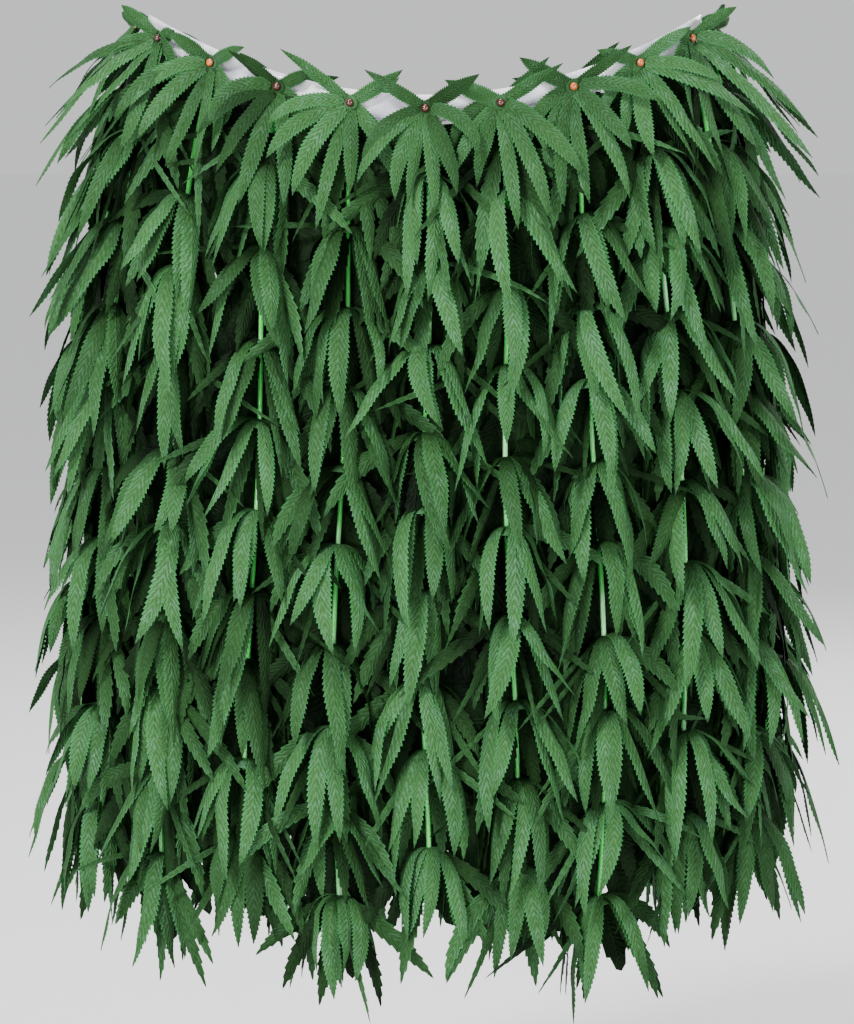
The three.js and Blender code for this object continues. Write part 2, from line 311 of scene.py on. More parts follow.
@dataclass
class Blank:
    """A small closed mesh as arrays, ready to be laid many times."""

    points: np.ndarray
    cut: np.ndarray
    corners: np.ndarray
    sizes: np.ndarray
    rim: np.ndarray

    @classmethod
    def from_bmesh(cls, bm: bmesh.types.BMesh, cut: np.ndarray, rim: np.ndarray) -> Blank:
        """Reads a finished bmesh.

        Args:
            bm: the mesh, which is freed.
            cut: each vertex's place on the cut cloth.
            rim: whether each vertex is on the cut edge.

        Returns:
            The blank.
        """
        points = np.array([v.co for v in bm.verts])
        corners = np.array([v.index for f in bm.faces for v in f.verts])
        sizes = np.array([len(f.verts) for f in bm.faces])
        bm.free()
        return cls(points, cut, corners, sizes, rim)


@dataclass(frozen=True)
class LeafletCutter:
    """Cuts one leaflet: a long pointed blade with saw teeth, thick only at its middle rib."""

    teeth: int = 24
    half_width: float = 4.6 * MM
    base_share: float = 0.50
    widest: float = 0.40
    swelling: float = 1.1
    taper: float = 2.2
    tooth_depth: float = 0.12
    tooth_lean: float = 0.8
    lean_fade: float = 5.0
    thickness: float = 0.5 * MM

    def outline(self, u: np.ndarray) -> np.ndarray:
        """The blade's half width.

        Args:
            u: shares of its length.

        Returns:
            The half width at each.
        """
        to_widest = np.clip(u / self.widest, 0, 1)
        to_tip = np.clip((u - self.widest) / (1 - self.widest), 0, 1)
        risen = np.sin(to_widest * math.pi / 2) ** self.swelling
        swell = self.base_share + (1 - self.base_share) * risen
        return self.half_width * swell * (1 - to_tip**self.taper)

    def flat_area(self, length: float) -> float:
        """The blade's area on the flat cloth.

        Args:
            length: the blade's length.

        Returns:
            The area of one side.
        """
        steps = 100
        middles = (np.arange(steps) + 0.5) / steps
        return float(np.mean(2 * self.outline(middles)) * length)

    def cut(self) -> Blank:
        """Cuts the blade, with its length along X from 0 to 1 and its widths along Y.

        Returns:
            The blade as a closed blank.
        """
        bm = bmesh.new()
        bmesh.ops.create_grid(bm, x_segments=2 * self.teeth, y_segments=2, size=0.5)
        step = 0.5 / self.teeth
        for vert in bm.verts:
            u, v = vert.co.x + 0.5, 2 * vert.co.y
            is_tooth = round(u / step) % 2 == 1
            is_edge = abs(v) > 0.5
            reach = 1 + (self.tooth_depth if is_tooth else -self.tooth_depth) * (u > step)
            lean = self.tooth_lean * step * min(1.0, self.lean_fade * (1 - u))
            forward = lean if is_tooth and is_edge else 0.0
            width = float(self.outline(np.array(u))) * reach
            vert.co = (min(u + forward, 1.0), v * width, 0.0)
        self.close(bm)
        bm.verts.index_update()
        points = np.array([v.co for v in bm.verts])
        side = np.where(np.abs(points[:, 1]) > SLIVER, np.sign(points[:, 1]), 0.0)
        cut = np.stack([points[:, 0], 0.5 + side / 2], axis=-1)
        rim = np.abs(points[:, 2]) < LEVEL
        return Blank.from_bmesh(bm, cut, rim)

    def close(self, bm: bmesh.types.BMesh) -> None:
        """Backs the flat blade with a second face that joins it at its cut edge.

        Args:
            bm: the flat blade.
        """
        back = bmesh.ops.duplicate(bm, geom=bm.verts[:] + bm.edges[:] + bm.faces[:])["geom"]
        bmesh.ops.reverse_faces(bm, faces=[g for g in back if isinstance(g, bmesh.types.BMFace)])
        back_verts = {g for g in back if isinstance(g, bmesh.types.BMVert)}
        for vert in bm.verts:
            is_on_rib = abs(vert.co.y) < LEVEL and TOUCHING < vert.co.x < 1 - TOUCHING
            if is_on_rib:
                vert.co.z = (-0.5 if vert in back_verts else 0.5) * self.thickness
        bmesh.ops.remove_doubles(bm, verts=bm.verts[:], dist=TOUCHING)
        bmesh.ops.dissolve_degenerate(bm, edges=bm.edges[:], dist=SLIVER)


@dataclass(frozen=True)
class HubCutter:
    """Cuts the middle of a whorl, a small ring of cloth that the stem goes through."""

    radii: tuple[float, ...] = (1.6 * MM, 5 * MM, 9.5 * MM)
    sides: int = 14
    thickness: float = 0.4 * MM
    cut_place: tuple[float, float] = (0.04, 0.7)

    def cut(self) -> Blank:
        """Cuts the ring, flat on XY.

        Returns:
            The ring as a closed blank.
        """
        bm = bmesh.new()
        bmesh.ops.create_circle(bm, segments=self.sides, radius=self.radii[0])
        edges = bm.edges[:]
        for radius, wider in zip(self.radii, self.radii[1:]):
            ring = bmesh.ops.extrude_edge_only(bm, edges=edges)["geom"]
            for vert in (g for g in ring if isinstance(g, bmesh.types.BMVert)):
                vert.co *= wider / radius
            edges = [g for g in ring if isinstance(g, bmesh.types.BMEdge)]
        bmesh.ops.recalc_face_normals(bm, faces=bm.faces[:])
        bmesh.ops.solidify(bm, geom=bm.faces[:], thickness=self.thickness)
        bmesh.ops.recalc_face_normals(bm, faces=bm.faces[:])
        bm.verts.index_update()
        points = np.array([v.co for v in bm.verts])
        cut = np.tile(self.cut_place, (len(points), 1))
        return Blank.from_bmesh(bm, cut, np.zeros(len(points), bool))


@dataclass
class Heap:
    """Many laid blanks that become one mesh."""

    points: list[np.ndarray] = field(default_factory=list)
    cuts: list[np.ndarray] = field(default_factory=list)
    corners: list[np.ndarray] = field(default_factory=list)
    sizes: list[np.ndarray] = field(default_factory=list)
    rims: list[np.ndarray] = field(default_factory=list)
    tones_and_shades: list[np.ndarray] = field(default_factory=list)
    total: int = 0

    def add(self, blank: Blank, points: np.ndarray, tone_and_shade: float | np.ndarray = 0.5) -> None:
        """Adds one laid blank.

        Args:
            blank: what was laid.
            points: where its vertices lie.
            tone_and_shade: its shade, from 0 to 1, over all of it or at each vertex.
        """
        self.points.append(points)
        self.cuts.append(blank.cut[blank.corners])
        self.corners.append(blank.corners + self.total)
        self.sizes.append(blank.sizes)
        self.rims.append(blank.rim)
        self.tones_and_shades.append(np.clip(np.broadcast_to(tone_and_shade, len(points)), 0, 1))
        self.total += len(points)

    def to_object(self, name: str) -> bpy.types.Object:
        """Makes the mesh and its object.

        Args:
            name: the piece's name.

        Returns:
            The object, linked to the scene.
        """
        points = np.concatenate(self.points).astype(np.float32)
        corners = np.concatenate(self.corners).astype(np.int32)
        sizes = np.concatenate(self.sizes).astype(np.int32)
        rim = np.concatenate(self.rims)
        mesh = bpy.data.meshes.new(name)
        mesh.vertices.add(len(points))
        mesh.vertices.foreach_set("co", points.ravel())
        mesh.loops.add(len(corners))
        mesh.loops.foreach_set("vertex_index", corners)
        mesh.polygons.add(len(sizes))
        starts = np.concatenate([[0], np.cumsum(sizes)[:-1]]).astype(np.int32)
        mesh.polygons.foreach_set("loop_start", starts)
        mesh.update(calc_edges=True)
        ends = np.zeros(2 * len(mesh.edges), np.int32)
        mesh.edges.foreach_get("vertices", ends)
        ends = ends.reshape(-1, 2)
        sharp = mesh.attributes.new("sharp_edge", "BOOLEAN", "EDGE")
        sharp.data.foreach_set("value", rim[ends[:, 0]] & rim[ends[:, 1]])
        layer = mesh.uv_layers.new(name=UV_NAME)
        layer.uv.foreach_set("vector", np.concatenate(self.cuts).astype(np.float32).ravel())
        tone_and_shade = mesh.attributes.new(TONE_AND_SHADE_NAME, "FLOAT", "POINT")
        tone_and_shade.data.foreach_set("value", np.concatenate(self.tones_and_shades).astype(np.float32))
        mesh.validate()
        return link(mesh, name)


def link(mesh: bpy.types.Mesh, name: str) -> bpy.types.Object:
    """Puts a mesh in the scene, smooth, at the origin.

    Args:
        mesh: the finished mesh.
        name: the piece's name.

    Returns:
        The object.
    """
    mesh.shade_smooth()
    obj = bpy.data.objects.new(name, mesh)
    bpy.context.scene.collection.objects.link(obj)
    return obj


def object_from_bmesh(bm: bmesh.types.BMesh, name: str) -> bpy.types.Object:
    """Turns a bmesh into a smooth object.

    Args:
        bm: the mesh, which is freed.
        name: the piece's name.

    Returns:
        The object.
    """
    mesh = bpy.data.meshes.new(name)
    bm.to_mesh(mesh)
    bm.free()
    return link(mesh, name)


# ---------------------------------------------------------------------------------------------------
# Shaders
# ---------------------------------------------------------------------------------------------------


class Value:
    """A shader socket that Python's operators work on, each adding its Math node."""

    def __init__(self, shader: Shader, socket: bpy.types.NodeSocket) -> None:
        """Wraps a socket of a shader."""
        self.shader = shader
        self.socket = socket

    def math(self, operation: str, *others: Value | float, swapped: bool = False) -> Value:
        """Adds a Math node.

        Args:
            operation: the node's operation.
            others: its other inputs.
            swapped: whether this value is the second input.

        Returns:
            Its result.
        """
        values = [self, *others]
        if swapped:
            values.reverse()
        node = self.shader.node("ShaderNodeMath", {"operation": operation}, dict(enumerate(values)))
        return Value(self.shader, node.outputs[0])

    def __add__(self, other: Value | float) -> Value:
        """The sum."""
        return self.math("ADD", other)

    __radd__ = __add__

    def __sub__(self, other: Value | float) -> Value:
        """The difference."""
        return self.math("SUBTRACT", other)

    def __rsub__(self, other: Value | float) -> Value:
        """The difference from a number."""
        return self.math("SUBTRACT", other, swapped=True)

    def __mul__(self, other: Value | float) -> Value:
        """The product."""
        return self.math("MULTIPLY", other)

    __rmul__ = __mul__

    def __pow__(self, other: Value | float) -> Value:
        """The power."""
        return self.math("POWER", other)

    def absolute(self) -> Value:
        """The size without the sign."""
        return self.math("ABSOLUTE")

    def sine(self) -> Value:
        """The sine."""
        return self.math("SINE")

    def clamped(self, low: float = 0.0, high: float = 1.0) -> Value:
        """The value kept between two numbers."""
        return self.math("MAXIMUM", low).math("MINIMUM", high)


class Shader:
    """A material's node tree, built from code."""

    def __init__(self, name: str) -> None:
        """Starts an empty material.

        Args:
            name: the material's name.
        """
        self.material = bpy.data.materials.new(name)
        self.material.use_nodes = True
        self.tree = self.material.node_tree
        self.tree.nodes.clear()

    def node(
        self,
        kind: str,
        settings: dict[str, Any] | None = None,
        inputs: dict[str | int, Any] | None = None,
    ) -> bpy.types.Node:
        """Adds a node.

        Args:
            kind: the node's type.
            settings: its settings, set first.
            inputs: values, or sockets to link, by the input's name or number.

        Returns:
            The node.
        """
        node = self.tree.nodes.new(kind)
        for name, setting in (settings or {}).items():
            setattr(node, name, setting)
        for name, value in (inputs or {}).items():
            target = node.inputs[name]
            if isinstance(value, Value):
                self.tree.links.new(value.socket, target)
            else:
                target.default_value = value
        return node

    def value(self, node: bpy.types.Node, output: str | int = 0) -> Value:
        """A node's output, to reckon with."""
        return Value(self, node.outputs[output])

    def noise(self, scale: float, detail: float = 2.0, stretch: Triple = (1, 1, 1)) -> Value:
        """Noise over the object's own coordinates.

        Args:
            scale: cycles for each metre.
            detail: how many finer layers it has.
            stretch: how much finer it is along each axis.

        Returns:
            A value from 0 to 1.
        """
        place = self.value(self.node("ShaderNodeTexCoord"), "Object")
        mapped = self.node("ShaderNodeMapping", inputs={"Vector": place, "Scale": stretch})
        inputs = {"Vector": self.value(mapped, "Vector"), "Scale": scale, "Detail": detail}
        return self.value(self.node("ShaderNodeTexNoise", inputs=inputs))

    def mix(self, share: Value, first: Any, second: Any) -> Value:
        """Mixes two colours.

        Args:
            share: how much of the second there is.
            first: a colour or a socket.
            second: a colour or a socket.

        Returns:
            The mixed colour.
        """
        settings = {"data_type": "RGBA", "clamp_factor": True}
        colours = [c if isinstance(c, Value) else (*c, 1.0) for c in (first, second)]
        node = self.node("ShaderNodeMix", settings, {0: share, 6: colours[0], 7: colours[1]})
        return self.value(node, 2)

    def bump(self, height: Value, distance: float, strength: float = 1.0) -> Value:
        """Turns a height into a normal.

        Args:
            height: the height, from 0 to 1.
            distance: how high 1 is.
            strength: how much of it shows.

        Returns:
            The normal.
        """
        inputs = {"Height": height, "Distance": distance, "Strength": strength}
        return self.value(self.node("ShaderNodeBump", inputs=inputs), "Normal")

    def finish(self, inputs: dict[str, Any]) -> bpy.types.Material:
        """Ends the material in a Principled shader.

        Args:
            inputs: the shader's values and sockets.

        Returns:
            The material.
        """
        body = self.node("ShaderNodeBsdfPrincipled", inputs=inputs)
        self.node("ShaderNodeOutputMaterial", inputs={"Surface": self.value(body)})
        return self.material


@dataclass(frozen=True)
class LeafCloth:
    """Green woven polyester, stiffened, with veins pressed into it. Its colour also holds painted highlights
    on the veins and along the cut edges, and painted shade in the vein grooves and on leaflets that lie
    deep.
    """

    # dark is the near-black that painted shade mixes towards. pale is the bluish painted highlight on the
    # veins, and edge is the painted highlight along the cut edge.
    dark: Colour = (0.0004, 0.003, 0.0006)
    body: Colour = (0.040, 0.128, 0.032)
    pale: Colour = (0.118, 0.272, 0.175)
    edge: Colour = (0.045, 0.230, 0.070)
    vein_count: float = 15.0
    vein_lean: float = 0.15
    rib_share: float = 0.14
    relief: float = 0.44 * MM

    def make(self) -> bpy.types.Material:
        """Makes the material.

        Returns:
            The material, which reads the cut map and the tint.
        """
        s = Shader("leaf_cloth")
        cut_map = s.value(s.node("ShaderNodeUVMap", {"uv_map": UV_NAME}))
        place = s.node("ShaderNodeSeparateXYZ", inputs={0: cut_map})
        along = s.value(place, "X")
        off = (s.value(place, "Y") * 2 - 1).absolute()
        bend = s.noise(210, 2.0) * 0.07
        wave = ((along + bend - off * self.vein_lean) * (self.vein_count * 2 * math.pi)).sine() * 0.5 + 0.5
        rib = (1 - off * (1 / self.rib_share)).clamped()
        # Mask for the painted highlight along the cut edge.
        rim = ((off - 0.74) * 5).clamped()
        weave = s.noise(2600, 1.0)
        patches = s.noise(34, 3.0)
        tone_and_shade = s.value(s.node("ShaderNodeAttribute", {"attribute_name": TONE_AND_SHADE_NAME}), "Fac")
        # Painted shade: the per-vertex value mixes the cloth towards the near-black dark. The patches add
        # random tone.
        shade = (tone_and_shade * 1.1 + patches * 0.5 - 0.15).clamped()
        colour = s.mix(shade, self.dark, self.body)
        # Painted highlight: pale bluish streaks on the vein ridges, in sparse patches and blotches, with a
        # little of the weave's grain.
        highlight_patches = ((s.noise(120, 3.0) - 0.46) * 4.0).clamped()
        highlight_blotches = ((s.noise(300, 3.0) - 0.50) * 3.0).clamped()
        highlight_and_weave = (wave * (highlight_patches * 0.44 + 0.18) + highlight_blotches * 0.18 + weave * 0.10 - 0.08).clamped()
        # Leaflets that are painted as shaded get less of the painted highlights.
        shown = (tone_and_shade * 1.4 - 0.20).clamped()
        # Painted shade in the grooves between the veins, mixed towards dark.
        groove_shade = (1 - wave) * (1 - rib) * 0.25
        colour = s.mix(highlight_and_weave * shown, s.mix(groove_shade, colour, self.dark), self.pale)
        # Painted highlight along the cut edge, where the rim mask is high.
        colour = s.mix(rim * shown * 0.65, colour, self.edge)
        crumple = s.noise(170, 3.0)
        height = wave**1.5 * 0.60 + rib * 0.7 + weave * 0.10 + crumple * 2.8
        roughness = (0.60 - wave * 0.10 + weave * 0.08).clamped()
        return s.finish(
            {
                "Base Color": colour,
                "Roughness": roughness,
                "Specular IOR Level": 0.07,
                "Normal": s.bump(height, self.relief),
            }
        )


@dataclass(frozen=True)
class GlossyStem:
    """Bright green moulded plastic."""

    body: Colour = (0.008, 0.42, 0.035)
    pale: Colour = (0.12, 0.76, 0.13)
    # milky is the whitish colour of the painted glints.
    milky: Colour = (0.45, 0.96, 0.52)

    def make(self) -> bpy.types.Material:
        """Makes the material.

        Returns:
            The material.
        """
        s = Shader("stem_plastic")
        streaks = s.noise(140, 2.0, (1, 1, 0.12))
        # Painted highlight: whitish glints in patches along the stem, standing for the gloss on it.
        painted_glints = ((s.noise(90, 1.0, (1, 1, 0.35)) - 0.52) * 6).clamped()
        return s.finish(
            {
                "Base Color": s.mix(painted_glints * 0.5, s.mix(streaks, self.body, self.pale), self.milky),
                "Roughness": (0.08 + streaks * 0.12).clamped(),
                "Coat Weight": 1.0,
                "Coat Roughness": 0.05,
                "Normal": s.bump(streaks, 0.25 * MM, 0.6),
            }
        )


@dataclass(frozen=True)
class ClearFilm:
    """Clear glossy plastic, a little milky where it is scuffed and bent, with painted grey-violet shade
    streaks between.
    """

    name: str = "clear_film"
    colour: Colour = (0.96, 0.96, 0.99)
    low_alpha: float = 0.80
    high_alpha: float = 0.98
    wrinkle: float = 0.9 * MM
    # depth is a painted grey-violet shade that shows where the film is not milky.
    depth: Colour = (0.34, 0.34, 0.48)

    def make(self) -> bpy.types.Material:
        """Makes the material.

        Returns:
            The material.
        """
        s = Shader(self.name)
        folds = s.noise(46, 2.0, (1, 1, 1.6))
        scuffs = s.noise(420, 3.0)
        milk = (folds * 2.6 - 0.62 + scuffs * 0.2).clamped()
        return s.finish(
            {
                "Base Color": s.mix(milk, self.depth, self.colour),
                "Roughness": (0.06 + scuffs * 0.16).clamped(),
                "Alpha": (self.low_alpha + milk * (self.high_alpha - self.low_alpha)).clamped(),
                "Coat Weight": 0.8,
                "Coat Roughness": 0.05,
                "Normal": s.bump(folds, self.wrinkle, 0.9),
            }
        )


@dataclass(frozen=True)
class BeadResin:
    """Glossy coloured resin, swirled between a deep colour and a lighter one."""

    name: str
    body: Colour
    glow: Colour

    def make(self) -> bpy.types.Material:
        """Makes the material.

        Returns:
            The material.
        """
        s = Shader(self.name)
        swirl = s.noise(520, 2.0)
        return s.finish(
            {
                "Base Color": s.mix(swirl, self.body, self.glow),
                "Roughness": (0.07 + swirl * 0.08).clamped(),
                "Coat Weight": 1.0,
                "Coat Roughness": 0.04,
                "Normal": s.bump(swirl, 0.15 * MM, 0.4),
            }
        )


@dataclass(frozen=True)
class TapePile:
    """White hook and loop tape."""

    name: str
    colour: Colour
    pile_scale: float
    pile_height: float
    shadow: float = 0.66

    def make(self) -> bpy.types.Material:
        """Makes the material.

        Returns:
            The material.
        """
        s = Shader(self.name)
        pile = s.noise(self.pile_scale, 3.0)
        return s.finish(
            {
                "Base Color": s.mix(pile, tuple(self.shadow * c for c in self.colour), self.colour),
                "Roughness": (0.7 + pile * 0.25).clamped(),
                "Sheen Weight": 0.3,
                "Normal": s.bump(pile, self.pile_height),
            }
        )


@dataclass(frozen=True)
class PaleFloor:
    """The studio's plain pale floor."""

    colour: Colour = (0.94, 0.94, 0.94)

    def make(self) -> bpy.types.Material:
        """Makes the material."""
        s = Shader("pale_floor")
        return s.finish({"Base Color": (*self.colour, 1.0), "Roughness": 0.9})


def made(make: Callable[[], bpy.types.Material]) -> Any:
    """A field that holds a finish, made when the finishes are."""
    return field(default_factory=make)


@dataclass
class Finishes:
    """The skirt's finishes, each made once."""

    leaf: bpy.types.Material = made(LeafCloth().make)
    stem: bpy.types.Material = made(GlossyStem().make)
    film: bpy.types.Material = made(ClearFilm().make)
    stop: bpy.types.Material = made(ClearFilm("clear_stop", (0.80, 0.83, 0.86), 0.55, 0.9, 0.3 * MM).make)
    amber: bpy.types.Material = made(BeadResin("amber_bead", (0.34, 0.045, 0.006), (0.74, 0.19, 0.028)).make)
    garnet: bpy.types.Material = made(
        BeadResin("garnet_bead", (0.030, 0.003, 0.003), (0.100, 0.010, 0.007)).make
    )
    hooks: bpy.types.Material = made(TapePile("hook_tape", (0.86, 0.86, 0.84), 900, 0.5 * MM).make)
    loops: bpy.types.Material = made(TapePile("loop_tape", (0.90, 0.90, 0.88), 1700, 0.7 * MM).make)


def settle(piece: bpy.types.Object, material: bpy.types.Material, node: str) -> bpy.types.Object:
    """Gives a piece its finish and its place in the frame.

    Args:
        piece: the piece.
        material: its finish.
        node: the node that it stands for.

    Returns:
        The piece.
    """
    piece.data.materials.append(material)
    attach(piece, ROOT)
    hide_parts(node)
    return piece


# ---------------------------------------------------------------------------------------------------
# The pieces
# ---------------------------------------------------------------------------------------------------


@dataclass(frozen=True)
class Leaflet:
    """One leaflet, whose spine is given beside the stem as side, out and drop."""

    length: float
    role: Role = Role.SHOWN
    start: float = 2.0 * MM
    twist: float = 0.0
    width: float = 1.0
    fold: float = 16.0
    wave: float = 0.0
    crown: float = 0.8 * MM
    crown_power: float = 0.7
    wave_reach: float = 5 * MM
    wave_rate: float = 13.0
    wave_shift: float = 900.0
    flat_share: float = 0.3
    # Painted shade: how much darker the leaflet is painted where it lies close to the figure.
    depth_shade: float = 0.5
    samples: int = 33

    def spine(self, shares: np.ndarray) -> Pair:
        """Its middle line and the way that its width runs there.

        Args:
            shares: shares of its length, evenly spaced.

        Returns:
            The places and the width's directions, one to a row.
        """
        raise NotImplementedError

    def laid(self, blank: Blank) -> np.ndarray:
        """Where the blank's vertices come to lie.

        Args:
            blank: the cut leaflet.

        Returns:
            Each vertex's side, out and drop, one to a row.
        """
        shares = np.linspace(0, 1, self.samples)
        places, widths = self.spine(shares)
        along = np.gradient(places, axis=0)
        along /= np.linalg.norm(along, axis=1, keepdims=True)
        widths = widths - along * np.sum(widths * along, axis=1, keepdims=True)
        widths /= np.linalg.norm(widths, axis=1, keepdims=True)
        faces = np.cross(along, widths)
        u, across, thick = blank.points.T
        place, width, face = (
            np.stack([np.interp(u, shares, column) for column in table.T], axis=-1)
            for table in (places, widths, faces)
        )
        across = across * self.width
        reach = np.abs(across)
        swell = self.crown * np.sin(np.clip(u, 0, 1) * math.pi) ** self.crown_power
        phase = u * self.wave_rate + self.length * self.wave_shift
        ripple = self.wave * reach / self.wave_reach * np.sin(phase)
        fade = np.clip(u / self.flat_share, 0, 1) ** 2
        height = swell - reach * math.tan(math.radians(self.fold)) * fade + thick + ripple * fade
        twist = math.radians(self.twist) * u
        cosine, sine = np.cos(twist)[:, None], np.sin(twist)[:, None]
        turned_width = width * cosine + face * sine
        turned_face = face * cosine - width * sine
        return place + across[:, None] * turned_width + height[:, None] * turned_face


@dataclass(frozen=True)
class FlatLeaflet(Leaflet):
    """A leaflet that lies along the skirt. Its bearing is from straight down, seen from outside."""

    bearing: float = 0.0
    droop: float = 0.35
    lift: float = 0.45
    tilt: float = 0.0
    rounding: float = 0.0
    rounding_run: float = 14 * MM
    layer: float = 0.0

    def spine(self, shares: np.ndarray) -> Pair:
        """Its middle line and the way that its width runs there.

        Args:
            shares: shares of its length, evenly spaced.

        Returns:
            The places and the width's directions, one to a row.
        """
        angles = np.radians(self.bearing * (1 - self.droop * shares))
        step = (self.length - self.start) * np.gradient(shares)
        side = np.cumsum(np.sin(angles) * step) + self.start * math.sin(angles[0])
        drop = np.cumsum(np.cos(angles) * step) + self.start * math.cos(angles[0])
        reach = np.hypot(side, drop)
        out = self.layer + self.lift * reach + self.tilt * np.abs(side)
        out = out + self.rounding * (1 - np.exp(-reach / self.rounding_run))
        places = np.stack([side, out, drop], axis=-1)
        return places, np.stack([np.cos(angles), np.zeros_like(angles), -np.sin(angles)], axis=-1)


def umbrella(travelled: np.ndarray, first: float, last: float, arch: float) -> Pair:
    """The line of something that leaves a stem nearly level and then hangs.

    Args:
        travelled: distances along it, rising from 0.
        first: how steeply it falls at its root, in degrees.
        last: how steeply it falls at its end, in degrees.
        arch: over how far it bends.

    Returns:
        Its reach from the root and its drop at each distance.
    """
    falls = np.radians(first + (last - first) * (1 - np.exp(-travelled / arch)))
    steps = np.diff(travelled)
    middle = (falls[1:] + falls[:-1]) / 2
    reach = np.concatenate([[0.0], np.cumsum(np.cos(middle) * steps)])
    return reach, np.concatenate([[0.0], np.cumsum(np.sin(middle) * steps)])


@dataclass(frozen=True)
class HangingLeaflet(Leaflet):
    """A leaflet that arches out from the stem and hangs. Its azimuth is from straight outwards."""

    azimuth: float = 0.0
    sweep: float = 0.0
    first_fall: float = 4.0
    last_fall: float = 70.0
    arch: float = 11 * MM
    inward_share: float = 0.45

    def spine(self, shares: np.ndarray) -> Pair:
        """Its middle line and the way that its width runs there.

        Args:
            shares: shares of its length, evenly spaced.

        Returns:
            The places and the width's directions, one to a row.
        """
        travelled = shares * (self.length - self.start)
        reach, drop = umbrella(travelled, self.first_fall, self.last_fall, self.arch)
        reach = reach + self.start
        azimuths = np.radians(self.azimuth + self.sweep * shares)
        side, out = reach * np.sin(azimuths), reach * np.cos(azimuths)
        out = np.where(out < 0, out * self.inward_share, out)
        places = np.stack([side, out, drop], axis=-1)
        return places, np.stack([np.cos(azimuths), -np.sin(azimuths), np.zeros_like(azimuths)], axis=-1)


@dataclass(frozen=True)
class WhorlHabit:
    """How a whorl's leaflets hang. Angles are in degrees, and shift, arch and wave in millimetres."""

    azimuths: tuple[float, ...] = (-160, -127, -97, -68, -40, -14, 12, 38, 64, 94, 130)
    behind_from: float = 90
    hidden_from: float = 120
    shift: Span = Span(-5, 5)
    shade: Span = Span(0.38, 0.86)
    own_shade: Span = Span(-0.22, 0.22)
    yaw: Span = Span(-17, 17)
    tilt: Span = Span(0, 14)
    tilt_way: Span = Span(-180, 180)
    closed: Span = Span(-2, 7)
    parted_share: float = 0.4
    parting: float = 2.0
    parting_reach: float = 30
    own_azimuth: Span = Span(-15, 15)
    fall: float = 68
    flank_lift: float = 4
    turned_fall: float = 12
    behind_fall: float = 16
    slim_fall: float = 11
    last_fall: float = 7
    own_fall: Span = Span(-9, 7)
    fall_limits: tuple[float, float] = (61, 89)
    stray_share: float = 0.12
    stray_lift: float = 8
    stray_length: Span = Span(0.80, 0.94)
    stray_twist: Span = Span(-85, 85)
    length: Span = Span(0.80, 1.14)
    behind_length: float = 0.88
    sweep: Span = Span(-34, 34)
    first_fall: Span = Span(-6, 16)
    arch: Span = Span(7, 16)
    twist: Span = Span(-42, 42)
    width: Span = Span(0.76, 1.04)
    fold: Span = Span(2, 30)
    wave: Span = Span(0.2, 1.1)
    # Painted shade on the whorl's leaflets near the figure, with less of it on the lowest whorl.
    depth_shade: float = 0.60
    last_depth_shade: float = 0.30
    last_lower: float = 6 * MM
    last_length: float = 0.84
    last_flank_length: float = 0.24
    slim_from: float = 120 * MM
    slim_run: float = 160 * MM
    slim_cut: float = 0.12


@dataclass(frozen=True)
class BetweenHabit:
    """How the leaflets between the strands lie, in degrees and millimetres. The narrow ones are slips."""

    bearings: tuple[float, ...] = (-62, -40, -18, 18, 40, 62)
    slip_share: float = 0.3
    length: Span = Span(0.72, 1.0)
    slip_bearing: Span = Span(-26, 26)
    own_bearing: Span = Span(-14, 14)
    slip_droop: Span = Span(0.0, 0.4)
    droop: Span = Span(0.3, 0.9)
    slip_lift: Span = Span(0.16, 0.34)
    lift: Span = Span(0.04, 0.26)
    rounding: Span = Span(0, 6)
    twist: Span = Span(-50, 50)
    slip_width: Span = Span(0.30, 0.46)
    width: Span = Span(0.8, 1.0)
    fold: Span = Span(0, 26)
    wave: Span = Span(0.2, 1.0)
    layer: float = -1.0 * MM
    # Painted shade on these leaflets near the figure.
    depth_shade: float = 0.78
    shade: Span = Span(0.28, 0.86)


@dataclass(frozen=True)
class LiningHabit:
    """How the dark leaflets against the figure lie, in degrees and millimetres."""

    bearings: tuple[float, ...] = (-68, -42, -16, 14, 40, 66)
    extra_bearings: tuple[float, ...] = (-27, 27)
    length: Span = Span(0.76, 0.94)
    own_bearing: Span = Span(-10, 10)
    lift: Span = Span(-0.03, 0.03)
    rounding: Span = Span(-7.0, -3.0)
    twist: Span = Span(-14, 14)
    width: Span = Span(1.3, 1.65)
    fold: Span = Span(-8, 6)
    layer: Span = Span(-2.4, -1.8)
    # Painted shade: the lining leaflets get near-black tones, standing for the shadow deep behind the stems.
    shade: Span = Span(0.0, 0.30)
    top_share: float = 0.7
    extra_share: float = 0.9
    last_share: float = 0.75
    last_step: int = 3


